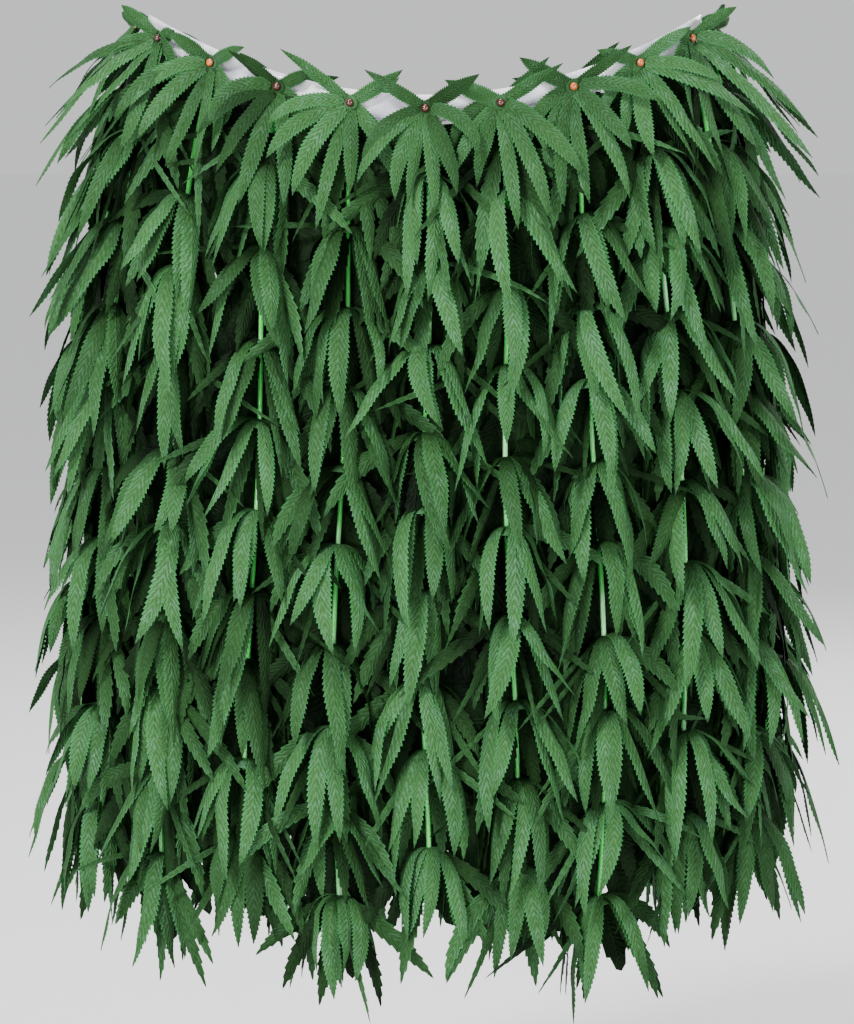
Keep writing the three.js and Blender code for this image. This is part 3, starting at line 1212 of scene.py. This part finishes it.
@dataclass(frozen=True)
class StarHabit:
    """How a star's leaflets lie, in degrees and millimetres. Its ears are the two that point up."""

    leaflets: tuple[tuple[float, float, float, float], ...] = (
        # bearing, length in millimetres, lift where it lies over, lift where it lies under
        (-80, 41, 0.44, 0.12),
        (-57, 48, 0.50, 0.24),
        (-32, 57, 0.44, 0.36),
        (-6, 62, 0.40, 0.40),
        (20, 60, 0.44, 0.38),
        (45, 51, 0.50, 0.26),
        (73, 43, 0.44, 0.12),
        (121, 39, 0.34, 0.20),
        (-122, 39, 0.34, 0.20),
    )
    ear_from: float = 100
    shade: Span = Span(0.32, 0.70)
    own_shade: Span = Span(-0.2, 0.2)
    # Painted shade: the star's middle is painted darker, as if shaded by the bead and the leaflets' bases.
    hub_shade: float = -0.15
    length: Span = Span(0.76, 1.10)
    ear_length: Span = Span(0.88, 1.0)
    ear_cut: float = 0.42
    own_bearing: Span = Span(-15, 15)
    ear_evenness: float = 0.5
    start: float = 1.6 * MM
    ear_droop: Span = Span(-0.06, 0.1)
    droop: Span = Span(0.55, 1.15)
    own_lift: Span = Span(0.85, 1.05)
    side_lift: float = 0.34
    over_tilt: float = 0.12
    under_tilt: float = -0.08
    layers: tuple[float, float] = (0.2, -0.4)
    twist: Span = Span(-50, 50)
    width: Span = Span(0.68, 0.94)
    fold: Span = Span(4, 24)
    wave: Span = Span(0.2, 0.9)
    # Painted shade on the star's leaflets near the figure.
    depth_shade: float = 0.15
    clearance: float = 3 * MM


@dataclass
class LeafString:
    """The cloth of one strand: the star under its rivet and its hanging whorls."""

    strand: Strand
    cutters: dict[Role, LeafletCutter]
    blanks: dict[Role, Blank]
    hub: Blank
    whorl: WhorlHabit = WhorlHabit()
    between: BetweenHabit = BetweenHabit()
    lining: LiningHabit = LiningHabit()
    star: StarHabit = StarHabit()
    seed: int = 4100
    leaf_length: float = 68 * MM
    hub_reach: float = 12 * MM
    hub_samples: int = 25
    hub_falls: tuple[float, float] = (4.0, 68.0)
    hub_arch: float = 11 * MM
    hub_lower: float = 0.2 * MM
    star_hub_share: float = 0.44
    star_hub_rise: float = 0.26
    star_out: float = 1.7 * MM
    # The painted shade fades out over this distance out from the figure.
    depth_shade_reach: float = 22 * MM
    front_tint: float = 0.1
    top_linings: tuple[float, float] = (10 * MM, 36 * MM)
    top_between: float = 20 * MM
    strip_width: float = 0.16
    used_share: float = 0.42
    flat_area: float = 0.0

    def lay(self, heap: Heap, leaflet: Leaflet, root_drop: float, tone_and_shade: float) -> None:
        """Lays one leaflet on the skirt.

        Args:
            heap: what it is added to.
            leaflet: how it hangs.
            root_drop: the drop of its hub.
            tone_and_shade: its shade.
        """
        blank = self.blanks[leaflet.role]
        side, out, drop = leaflet.laid(blank).T
        # Painted shade: leaflets close to the figure are darkened, standing for the shadow of the leaflets
        # over them.
        tones_and_shades = tone_and_shade + self.front_tint - leaflet.depth_shade * (1 - np.clip(out / self.depth_shade_reach, 0, 1))
        heap.add(blank, self.strand.lay(root_drop, side, drop, self.strand.stem_out + out), tones_and_shades)
        self.flat_area += self.cutters[leaflet.role].flat_area(leaflet.length) * leaflet.width

    def lay_hub(self, heap: Heap, root_drop: float, tone_and_shade: float) -> None:
        """Lays a whorl's middle round the stem, like a small umbrella.

        Args:
            heap: what it is added to.
            root_drop: its drop.
            tone_and_shade: its shade.
        """
        x, y, thick = self.hub.points.T
        radius = np.hypot(x, y)
        travelled = np.linspace(0, self.hub_reach, self.hub_samples)
        reach, drop = umbrella(travelled, *self.hub_falls, self.hub_arch)
        shrink = np.interp(radius, travelled, reach) / radius
        fall = np.interp(radius, travelled, drop) + self.hub_lower
        out = self.strand.stem_out - y * shrink
        heap.add(self.hub, self.strand.lay(root_drop, x * shrink, fall - thick, out), tone_and_shade)

    def lay_star_hub(self, heap: Heap, tone_and_shade: float) -> None:
        """Lays the star's middle nearly flat behind its bead.

        Args:
            heap: what it is added to.
            tone_and_shade: its shade.
        """
        x, y, thick = self.hub.points.T
        shrink = self.star_hub_share
        out = self.strand.stem_out + self.star_out + self.star_hub_rise * np.hypot(x, y) * shrink + thick
        heap.add(self.hub, self.strand.lay(0.0, x * shrink, -y * shrink, out), tone_and_shade)

    def lay_whorl(self, heap: Heap, number: int, rng: np.random.Generator) -> None:
        """Lays one whorl: the leaflets that show, and those that close the gaps behind.

        Args:
            heap: what it is added to.
            number: which whorl, from the top.
            rng: the strand's own random numbers.
        """
        habit, lining = self.whorl, self.lining
        is_last = number == self.strand.whorls - 1
        flank = self.strand.sideways**2
        lower = habit.last_lower * flank if is_last else 0.0
        longer = habit.last_length + habit.last_flank_length * flank if is_last else 1.0
        root_drop = self.strand.whorl_drop(number) + habit.shift.draw(rng) * MM + lower
        shade = habit.shade.draw(rng)
        yaw = habit.yaw.draw(rng)
        tilt, tilt_way = habit.tilt.draw(rng), habit.tilt_way.draw(rng)
        closed = habit.closed.draw(rng)
        parting = habit.parting if rng.uniform() < habit.parted_share else 1.0
        lowness = min(max((root_drop - habit.slim_from) / habit.slim_run, 0.0), 1.0)
        slimness = flank * lowness * (self.strand.place < 0)
        longer *= 1 - habit.slim_cut * slimness
        for azimuth in habit.azimuths:
            behind = abs(azimuth) > habit.behind_from
            own = azimuth * (parting if abs(azimuth) < habit.parting_reach else 1)
            own = own + yaw + habit.own_azimuth.draw(rng)
            fall = habit.fall - habit.flank_lift * flank + closed
            fall += habit.turned_fall * abs(math.sin(math.radians(own)))
            fall += habit.behind_fall if behind else 0
            fall += habit.slim_fall * slimness + (habit.last_fall if is_last else 0)
            fall += tilt * math.cos(math.radians(own - tilt_way)) + habit.own_fall.draw(rng)
            strays = rng.uniform() < habit.stray_share
            length = self.leaf_length * (habit.stray_length if strays else habit.length).draw(rng)
            leaflet = HangingLeaflet(
                length=length * (habit.behind_length if behind else 1.0) * longer,
                role=self.hung_role(azimuth, is_last),
                azimuth=own,
                sweep=habit.sweep.draw(rng),
                first_fall=habit.first_fall.draw(rng),
                last_fall=float(np.clip(fall - (habit.stray_lift if strays else 0), *habit.fall_limits)),
                arch=habit.arch.draw(rng) * MM,
                twist=(habit.stray_twist if strays else habit.twist).draw(rng),
                width=habit.width.draw(rng),
                fold=habit.fold.draw(rng),
                wave=habit.wave.draw(rng) * MM,
                depth_shade=habit.last_depth_shade if is_last else habit.depth_shade,
            )
            self.lay(heap, leaflet, root_drop, shade + habit.own_shade.draw(rng))
        self.lay_between(heap, root_drop, rng)
        if is_last:
            self.lay_lining(heap, root_drop, rng, lining.bearings[:: lining.last_step], lining.last_share)
        else:
            self.lay_lining(heap, root_drop, rng, lining.bearings, 1.0)
            half_way = root_drop + self.strand.pitch / 2
            self.lay_lining(heap, half_way, rng, lining.extra_bearings, lining.extra_share)
        self.lay_hub(heap, root_drop, shade)

    def hung_role(self, azimuth: float, is_last: bool) -> Role:
        """How finely a hanging leaflet is cut.

        Args:
            azimuth: its azimuth before it is made uneven, in degrees.
            is_last: whether it is in the lowest whorl, where nothing hides it.

        Returns:
            Its role.
        """
        if abs(azimuth) <= self.whorl.behind_from:
            return Role.SHOWN
        is_hidden = abs(azimuth) > self.whorl.hidden_from and not is_last
        return Role.LINING if is_hidden else Role.BEHIND

    def lay_between(self, heap: Heap, root_drop: float, rng: np.random.Generator) -> None:
        """Lays the leaflets that fill the way to the next strands.

        Args:
            heap: what it is added to.
            root_drop: the drop of their hub.
            rng: the strand's own random numbers.
        """
        habit = self.between
        for bearing in habit.bearings:
            is_slip = rng.uniform() < habit.slip_share
            between = FlatLeaflet(
                length=self.leaf_length * habit.length.draw(rng),
                role=Role.BEHIND,
                bearing=bearing + (habit.slip_bearing if is_slip else habit.own_bearing).draw(rng),
                droop=(habit.slip_droop if is_slip else habit.droop).draw(rng),
                lift=(habit.slip_lift if is_slip else habit.lift).draw(rng),
                rounding=habit.rounding.draw(rng) * MM,
                twist=habit.twist.draw(rng),
                width=(habit.slip_width if is_slip else habit.width).draw(rng),
                fold=habit.fold.draw(rng),
                wave=habit.wave.draw(rng) * MM,
                layer=habit.layer,
                depth_shade=habit.depth_shade,
            )
            self.lay(heap, between, root_drop, habit.shade.draw(rng))

    def lay_lining(
        self,
        heap: Heap,
        root_drop: float,
        rng: np.random.Generator,
        bearings: tuple[float, ...],
        share: float,
    ) -> None:
        """Lays the leaflets that are pressed against the figure behind the stem.

        Args:
            heap: what it is added to.
            root_drop: the drop of their hub.
            rng: the strand's own random numbers.
            bearings: which way each points.
            share: their length as a share of the usual.
        """
        habit = self.lining
        for bearing in bearings:
            lining = FlatLeaflet(
                length=self.leaf_length * habit.length.draw(rng) * share,
                role=Role.LINING,
                bearing=bearing + habit.own_bearing.draw(rng),
                lift=habit.lift.draw(rng),
                rounding=habit.rounding.draw(rng) * MM,
                twist=habit.twist.draw(rng),
                width=habit.width.draw(rng),
                fold=habit.fold.draw(rng),
                layer=habit.layer.draw(rng) * MM,
            )
            self.lay(heap, lining, root_drop, habit.shade.draw(rng))

    def lay_star(self, heap: Heap, rng: np.random.Generator) -> None:
        """Lays the star under the rivet.

        Args:
            heap: what it is added to.
            rng: the strand's own random numbers.
        """
        habit = self.star
        shade = habit.shade.draw(rng)
        sideways = self.strand.sideways
        for i, (bearing, length, over, under) in enumerate(habit.leaflets):
            is_open = self.strand.is_open(bearing)
            is_ear = abs(bearing) > habit.ear_from
            wanted = length * MM * habit.length.draw(rng)
            if is_ear:
                wanted *= habit.ear_length.draw(rng) - habit.ear_cut * sideways**2
            leaflet = FlatLeaflet(
                length=self.limited(wanted, bearing, is_open),
                role=Role.STAR,
                bearing=bearing + habit.own_bearing.draw(rng) * (habit.ear_evenness if is_ear else 1.0),
                start=habit.start,
                droop=(habit.ear_droop if is_ear else habit.droop).draw(rng),
                lift=(over if is_open else under) * habit.own_lift.draw(rng) + habit.side_lift * sideways**4,
                tilt=habit.over_tilt if is_open else habit.under_tilt,
                layer=self.star_out + habit.layers[i % 2] * MM,
                twist=habit.twist.draw(rng),
                width=habit.width.draw(rng),
                fold=habit.fold.draw(rng),
                wave=habit.wave.draw(rng) * MM,
                depth_shade=habit.depth_shade,
            )
            self.lay(heap, leaflet, 0.0, shade + habit.own_shade.draw(rng))
        self.lay_star_hub(heap, shade + habit.hub_shade)

    def limited(self, length: float, bearing: float, is_open: bool) -> float:
        """A star leaflet's length, kept short where two would meet over the front or the back strand.

        Args:
            length: the length wanted.
            bearing: its bearing, in degrees.
            is_open: whether it lies over its neighbour.

        Returns:
            The length to cut.
        """
        beside = self.strand.count // 2 - 1 if is_open else 1
        if abs(self.strand.place) != beside:
            return length
        room = self.strand.spacing - self.star.clearance
        return min(length, room / abs(math.sin(math.radians(bearing)) or 1))

    def build(self, finishes: Finishes) -> bpy.types.Object:
        """Makes the strand's cloth.

        Args:
            finishes: the skirt's finishes.

        Returns:
            The piece.
        """
        rng = np.random.default_rng(self.seed + self.strand.number)
        heap = Heap()
        self.lay_star(heap, rng)
        for drop in self.top_linings:
            self.lay_lining(heap, drop, rng, self.lining.bearings, self.lining.top_share)
        self.lay_between(heap, self.top_between, rng)
        for number in range(self.strand.whorls):
            self.lay_whorl(heap, number, rng)
        label = self.strand.label
        return settle(heap.to_object(f"leaves_{label}"), finishes.leaf, f"strand_{label}")

    def declare(self) -> None:
        """Reckons the length of one strip of cloth that the whorls would come nested from, and does nothing
        with it.
        """
        length = round(self.flat_area / (self.used_share * self.strip_width), 2)


@dataclass
class StemRod:
    """A strand's stem and the clear stop at its end."""

    strand: Strand
    radius: float = 1.3 * MM
    sides: int = 10
    rings: int = 72
    top_drop: float = 4 * MM
    stop_radius: float = 2.4 * MM
    stop_length: float = 10 * MM
    stop_rings: int = 12
    overlap: float = 1.5 * MM

    def rod(
        self, name: str, top: float, bottom: float, rings: int, profile: Callable[[np.ndarray], np.ndarray]
    ) -> bpy.types.Object:
        """A closed rod along the stem's line.

        Args:
            name: the piece's name.
            top: the drop of its upper end.
            bottom: the drop of its lower end.
            rings: how many steps it has.
            profile: its radius, by the share of its length.

        Returns:
            The object.
        """
        bm = bmesh.new()
        bmesh.ops.create_cone(
            bm, cap_ends=True, cap_tris=False, segments=self.sides, radius1=1, radius2=1, depth=1
        )
        upright = [e for e in bm.edges if abs(e.verts[0].co.z - e.verts[1].co.z) > 0.5]
        bmesh.ops.subdivide_edges(bm, edges=upright, cuts=rings - 1, use_grid_fill=False)
        caps = [f for f in bm.faces if len(f.verts) == self.sides and abs(f.normal.z) > 0.9]
        bmesh.ops.poke(bm, faces=caps)
        bm.verts.ensure_lookup_table()
        local = np.array([v.co for v in bm.verts])
        share = 0.5 - local[:, 2]
        drop = top + (bottom - top) * share
        radius = profile(share)
        side, out = local[:, 0] * radius, -local[:, 1] * radius
        turn = self.strand.turn(drop)
        turn = turn + side / self.strand.figure.pace(turn, drop)
        points = self.strand.figure.point(turn, drop, self.strand.stem_out + out)
        for vert, point in zip(bm.verts, points):
            vert.co = Vector(point)
        bmesh.ops.recalc_face_normals(bm, faces=bm.faces[:])
        return object_from_bmesh(bm, name)

    def stem_profile(self, share: np.ndarray) -> np.ndarray:
        """The stem's radius, the same all along."""
        return np.full_like(share, self.radius)

    def stop_profile(self, share: np.ndarray) -> np.ndarray:
        """The stop's radius: a neck that swells, and then closes at its end.

        Args:
            share: shares of its length.

        Returns:
            The radius at each.
        """
        swell = 0.72 + 0.28 * np.sin(np.clip(share * 1.25, 0, 1) * math.pi)
        return self.stop_radius * swell * np.sqrt(np.clip(1.02 - share**6, 0.02, 1))

    def build(self, finishes: Finishes) -> tuple[bpy.types.Object, bpy.types.Object]:
        """Makes the stem and its stop.

        Args:
            finishes: the skirt's finishes.

        Returns:
            The stem and the stop.
        """
        label, node = self.strand.label, f"strand_{self.strand.label}"
        end = self.strand.end_drop()
        neck = end - self.stop_length
        stem = self.rod(f"stem_{label}", self.top_drop, neck + self.overlap, self.rings, self.stem_profile)
        stop = self.rod(f"stop_{label}", neck, end, self.stop_rings, self.stop_profile)
        return settle(stem, finishes.stem, node), settle(stop, finishes.stop, node)


@dataclass
class RivetBead:
    """The rounded bead that rivets a strand to the waistband."""

    strand: Strand
    radius: float = 2.1 * MM
    foot_out: float = 4.5 * MM
    height: float = 3.2 * MM
    sides: int = 20
    garnet_places: tuple[int, ...] = (-8, -6, -4, -2, -1, 0, 1, 5, 7, 9)
    outline: tuple[tuple[float, float], ...] = (
        # radius and height, as shares of the bead's
        (0.0, 0.0),
        (0.55, 0.20),
        (0.92, 0.38),
        (1.0, 0.50),
        (0.93, 0.66),
        (0.72, 0.84),
        (0.40, 0.96),
        (0.0, 1.0),
    )

    def build(self, finishes: Finishes) -> bpy.types.Object:
        """Makes the bead.

        Args:
            finishes: the skirt's finishes.

        Returns:
            The piece.
        """
        bm = bmesh.new()
        verts = [bm.verts.new((r * self.radius, 0.0, h * self.height)) for r, h in self.outline]
        edges = [bm.edges.new(pair) for pair in zip(verts, verts[1:])]
        turning = {"cent": (0, 0, 0), "axis": (0, 0, 1), "angle": 2 * math.pi, "steps": self.sides}
        bmesh.ops.spin(bm, geom=verts + edges, use_merge=True, **turning)
        bmesh.ops.remove_doubles(bm, verts=bm.verts[:], dist=TOUCHING)
        bmesh.ops.recalc_face_normals(bm, faces=bm.faces[:])
        turn = np.array([self.strand.rest_turn()])
        foot, tip = (
            Vector(self.strand.figure.point(turn, np.zeros(1), np.array([out]))[0])
            for out in (self.foot_out, self.foot_out + self.height)
        )
        turned = (tip - foot).to_track_quat("Z", "Y").to_matrix().to_4x4()
        bmesh.ops.transform(bm, matrix=Matrix.Translation(foot) @ turned, verts=bm.verts[:])
        bead = object_from_bmesh(bm, f"bead_{self.strand.label}")
        is_garnet = self.strand.place in self.garnet_places
        material = finishes.garnet if is_garnet else finishes.amber
        return settle(bead, material, f"rivet_{self.strand.label}")


@dataclass
class BandStrip:
    """A strip that stands on edge round the waist."""

    figure: Figure
    name: str
    start: float
    end: float
    height: float
    thickness: float
    out_at: Callable[[np.ndarray], np.ndarray]
    steps: int = 240
    rows: int = 4
    wander: float = 0.0
    wander_rates: Triple = (95, 3, 40)

    def build(self, material: bpy.types.Material, node: str, slot: str) -> bpy.types.Object:
        """Makes the strip.

        Args:
            material: its finish.
            node: the node that it stands for.
            slot: not used.

        Returns:
            The piece.
        """
        bm = bmesh.new()
        bmesh.ops.create_grid(bm, x_segments=self.steps, y_segments=self.rows, size=0.5)
        bmesh.ops.solidify(bm, geom=bm.faces[:], thickness=self.thickness)
        bmesh.ops.recalc_face_normals(bm, faces=bm.faces[:])
        bm.verts.ensure_lookup_table()
        local = np.array([v.co for v in bm.verts])
        middle = (local[:, 2].max() + local[:, 2].min()) / 2
        distance = self.start + (self.end - self.start) * (local[:, 0] + 0.5)
        up = local[:, 1] * self.height
        swing, rise, lean = self.wander_rates
        ripple = self.wander * np.sin(distance * swing) * np.sin(local[:, 1] * rise + distance * lean)
        out = self.out_at(distance) - (local[:, 2] - middle) + ripple
        points = self.figure.level_point(self.figure.turn_at(distance), up, out)
        for vert, point in zip(bm.verts, points):
            vert.co = Vector(point)
        bmesh.ops.recalc_face_normals(bm, faces=bm.faces[:])
        return settle(object_from_bmesh(bm, self.name), material, node)


@dataclass
class Waistband:
    """The clear waistband and the hook and loop closure between its ends."""

    figure: Figure
    height: float = 14 * MM
    thickness: float = 0.9 * MM
    patch_height: float = 10 * MM
    patch_thickness: float = 0.7 * MM
    outer_reach: float = 17 * MM
    inner_reach: float = 22 * MM
    ramp: tuple[float, float] = (19 * MM, 32 * MM)
    patch: tuple[float, float] = (-14 * MM, 14 * MM)
    hook_out: float = -1.2 * MM
    loop_out: float = -2.3 * MM
    inner_out: float = -3.5 * MM

    def band_out(self, distance: np.ndarray) -> np.ndarray:
        """How far out the band runs: its inner end goes under the outer one.

        Args:
            distance: the way round from the front.

        Returns:
            How far out it is there.
        """
        from_back = distance + self.figure.half_waist()
        share = np.clip((from_back - self.ramp[0]) / (self.ramp[1] - self.ramp[0]), 0, 1)
        return self.inner_out * (1 - share**2 * (3 - 2 * share))

    def build(self, finishes: Finishes) -> list[bpy.types.Object]:
        """Makes the film and the two tapes.

        Args:
            finishes: the skirt's finishes.

        Returns:
            The pieces.
        """
        half = self.figure.half_waist()
        film = BandStrip(
            self.figure,
            "band_film",
            -half - self.inner_reach,
            half + self.outer_reach,
            self.height,
            self.thickness,
            self.band_out,
            wander=0.12 * MM,
        ).build(finishes.film, "waistband", "band")
        pieces = [film]
        tapes = (("hook", self.hook_out, finishes.hooks), ("loop", self.loop_out, finishes.loops))
        for name, out, material in tapes:
            tape = BandStrip(
                self.figure,
                f"{name}_tape",
                half + self.patch[0],
                half + self.patch[1],
                self.patch_height,
                self.patch_thickness,
                lambda distance, out=out: np.full_like(distance, out),
                steps=28,
                rows=10,
            ).build(material, f"closure_{name}_patch", "patch")
            pieces.append(tape)
        return pieces


# ---------------------------------------------------------------------------------------------------
# The studio
# ---------------------------------------------------------------------------------------------------


@dataclass(frozen=True)
class SoftLight:
    """A soft rectangular light that faces the skirt."""

    name: str
    place: Triple
    size: tuple[float, float]
    watts: float
    target: Triple = (0, 0, -0.25)

    def add(self) -> None:
        """Adds the light to the scene."""
        lamp = bpy.data.lights.new(self.name, "AREA")
        lamp.shape = "RECTANGLE"
        lamp.size, lamp.size_y = self.size
        lamp.energy = self.watts
        obj = bpy.data.objects.new(self.name, lamp)
        obj.location = self.place
        aim = Vector(self.target) - Vector(self.place)
        obj.rotation_euler = aim.to_track_quat("-Z", "Y").to_euler()
        bpy.context.scene.collection.objects.link(obj)


@dataclass
class Studio:
    """Floor, soft lights, pale surround and camera."""

    floor_drop: float = 0.62
    floor_half: float = 600.0
    distance: float = 3.0
    elevation: float = 3.5
    view_height: float = 0.548
    aim: Triple = (0.001, 0.0, -0.2585)
    sensor: float = 36.0
    farthest: float = 1500.0
    lights: tuple[SoftLight, ...] = (
        SoftLight("key", (-1.5, -2.5, 1.9), (0.55, 0.55), 165),
        SoftLight("strip", (-1.35, -2.95, -0.15), (0.16, 0.9), 32),
        SoftLight("fill", (2.4, -2.1, 0.1), (1.4, 1.4), 40),
        SoftLight("top", (0.0, 0.2, 2.4), (1.2, 1.2), 34),
        SoftLight("back", (1.2, 2.8, 1.5), (1.6, 1.6), 60),
    )
    surround: Colour = (0.95, 0.96, 0.97)
    surround_strength: float = 0.8

    def build_floor(self) -> None:
        """Makes the plain pale floor."""
        bm = bmesh.new()
        bmesh.ops.create_grid(bm, x_segments=1, y_segments=1, size=self.floor_half)
        bmesh.ops.translate(bm, verts=bm.verts[:], vec=(0, 0, -self.floor_drop))
        floor = object_from_bmesh(bm, "floor")
        floor.data.materials.append(PaleFloor().make())

    def build_lights(self) -> None:
        """Adds the soft lights and the pale surround."""
        for light in self.lights:
            light.add()
        world = bpy.data.worlds.new("surround")
        world.use_nodes = True
        background = world.node_tree.nodes["Background"]
        background.inputs["Color"].default_value = (*self.surround, 1)
        background.inputs["Strength"].default_value = self.surround_strength
        bpy.context.scene.world = world

    def build_camera(self) -> None:
        """Adds the camera, a little above the waist and in front."""
        data = bpy.data.cameras.new("camera")
        data.sensor_width = self.sensor
        data.lens = self.sensor * self.distance / self.view_height
        data.clip_end = self.farthest
        camera = bpy.data.objects.new("camera", data)
        angle = math.radians(self.elevation)
        away = Vector((0, -math.cos(angle), math.sin(angle)))
        camera.location = Vector(self.aim) + away * self.distance
        camera.rotation_euler = (-away).to_track_quat("-Z", "Y").to_euler()
        bpy.context.scene.collection.objects.link(camera)
        bpy.context.scene.camera = camera

    def build(self) -> None:
        """Builds the studio."""
        self.build_camera()
        self.build_floor()
        self.build_lights()


def report(piece: bpy.types.Object) -> None:
    """Logs a finished piece and how many faces it has.

    Args:
        piece: the piece.
    """
    LOG.info("%s: %d faces", piece.name, len(piece.data.polygons))


def main() -> None:
    """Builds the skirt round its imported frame."""
    logging.basicConfig(level=logging.INFO, format="%(message)s")
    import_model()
    Studio().build()
    finishes = Finishes()
    figure = Figure()
    for piece in Waistband(figure).build(finishes):
        report(piece)
    cutters = {
        Role.STAR: LeafletCutter(base_share=0.80),
        Role.SHOWN: LeafletCutter(),
        Role.BEHIND: LeafletCutter(teeth=11),
        Role.LINING: LeafletCutter(teeth=4, half_width=5.2 * MM, tooth_depth=0.05),
    }
    blanks = {role: cutter.cut() for role, cutter in cutters.items()}
    hub = HubCutter().cut()
    for number in range(Strand.count):
        strand = Strand(figure, number)
        string = LeafString(strand, cutters, blanks, hub)
        leaves = string.build(finishes)
        stem, stop = StemRod(strand).build(finishes)
        string.declare()
        bead = RivetBead(strand).build(finishes)
        for piece in (leaves, stem, stop, bead):
            report(piece)


if __name__ == "__main__":
    main()
